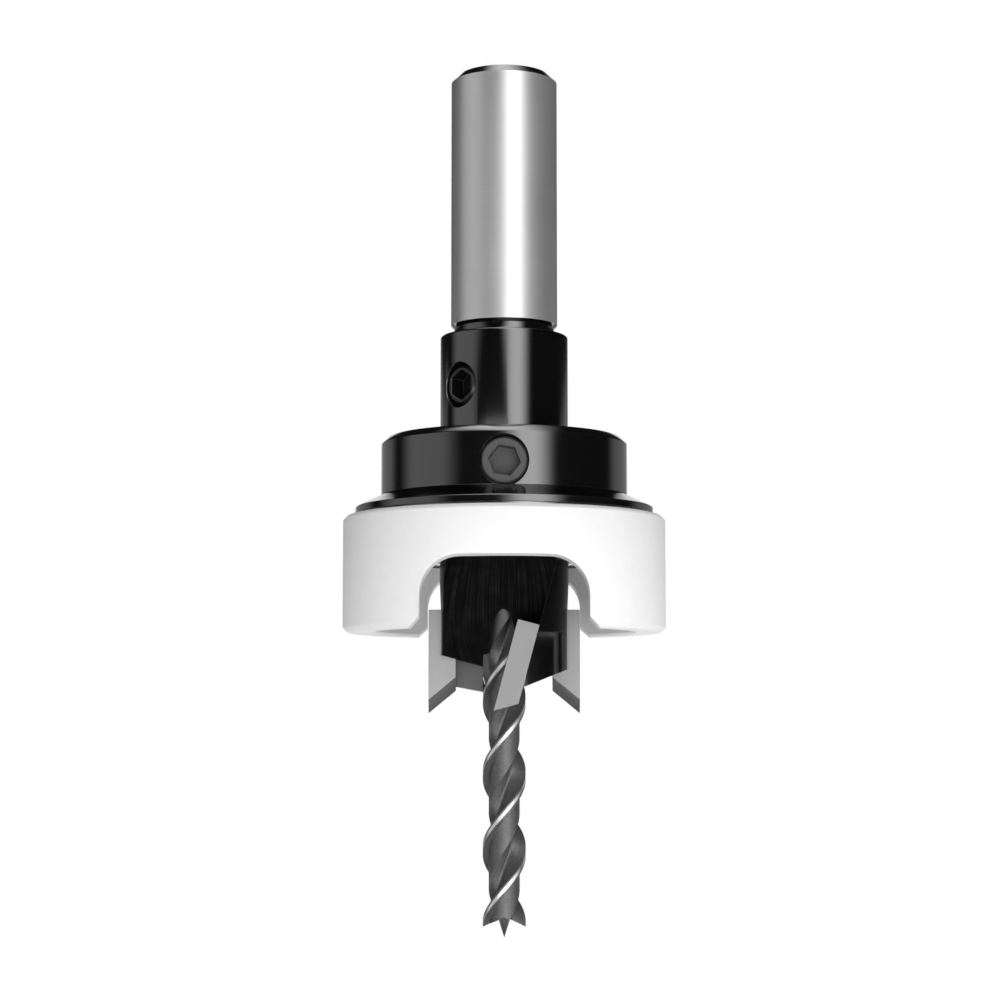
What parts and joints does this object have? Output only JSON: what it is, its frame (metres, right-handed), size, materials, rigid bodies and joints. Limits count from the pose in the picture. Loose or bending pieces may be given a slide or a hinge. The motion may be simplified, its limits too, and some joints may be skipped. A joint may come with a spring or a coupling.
{
  "type": "countersink bit",
  "caption": "Drill and counterbore bit with a three-point pilot drill, carbide cutters and spurs, and a sliding depth stop whose white ring spins on a ball bearing",
  "frame": {"origin": "centre of the flat end face of the shank", "axes": "+Z runs along the tool axis from the shank to the drill point, -Y is the front with the collar screw, +X is to the right of the front"},
  "size_m": [0.03, 0.03, 0.0808],
  "materials": {
    "black_steel": "polished black oxide, with a bright ground shank",
    "drill_steel": "dark steel with bright ground margins",
    "carbide": "satin ground carbide",
    "screw_steel": "black oxide",
    "ring_plastic": "smooth white",
    "bearing_steel": "polished",
    "cage_plastic": "satin",
    "shield_black": "matte black"
  },
  "bodies": {
    "tool": {"tool_body": "black_steel", "pilot_drill": "drill_steel", "cutting_plate_front": "carbide", "cutting_plate_back": "carbide", "spur_left": "carbide", "spur_right": "carbide", "drill_set_screw": "screw_steel"},
    "collar": {"stop_collar": "black_steel", "collar_set_screw": "screw_steel", "bearing_inner_race": "bearing_steel"},
    "ring": {"stop_ring": "ring_plastic", "bearing_outer_race": "bearing_steel", "bearing_shield_upper": "shield_black", "bearing_shield_lower": "shield_black"},
    "balls": {"bearing_cage": "cage_plastic", "bearing_ball_01": "bearing_steel", "bearing_ball_02": "bearing_steel", "bearing_ball_03": "bearing_steel", "bearing_ball_04": "bearing_steel", "bearing_ball_05": "bearing_steel", "bearing_ball_06": "bearing_steel", "bearing_ball_07": "bearing_steel", "bearing_ball_08": "bearing_steel", "bearing_ball_09": "bearing_steel", "bearing_ball_10": "bearing_steel", "bearing_ball_11": "bearing_steel", "bearing_ball_12": "bearing_steel"}
  },
  "joints": [
    {"name": "stop_slide", "type": "slide", "parent": "tool", "child": "collar", "axis": [0, 0, 1], "range_m": [-0.0096, 0.0044]},
    {"name": "stop_spin", "type": "hinge", "parent": "collar", "child": "ring", "pos_m": [0, 0, 0.04371], "axis": [0, 0, 1], "continuous": true},
    {"name": "cage_spin", "type": "hinge", "parent": "collar", "child": "balls", "pos_m": [0, 0, 0.04371], "axis": [0, 0, 1], "continuous": true}
  ],
  "couplings": [
    {"joint": "cage_spin", "follows": "stop_spin", "ratio": 0.5607}
  ]
}
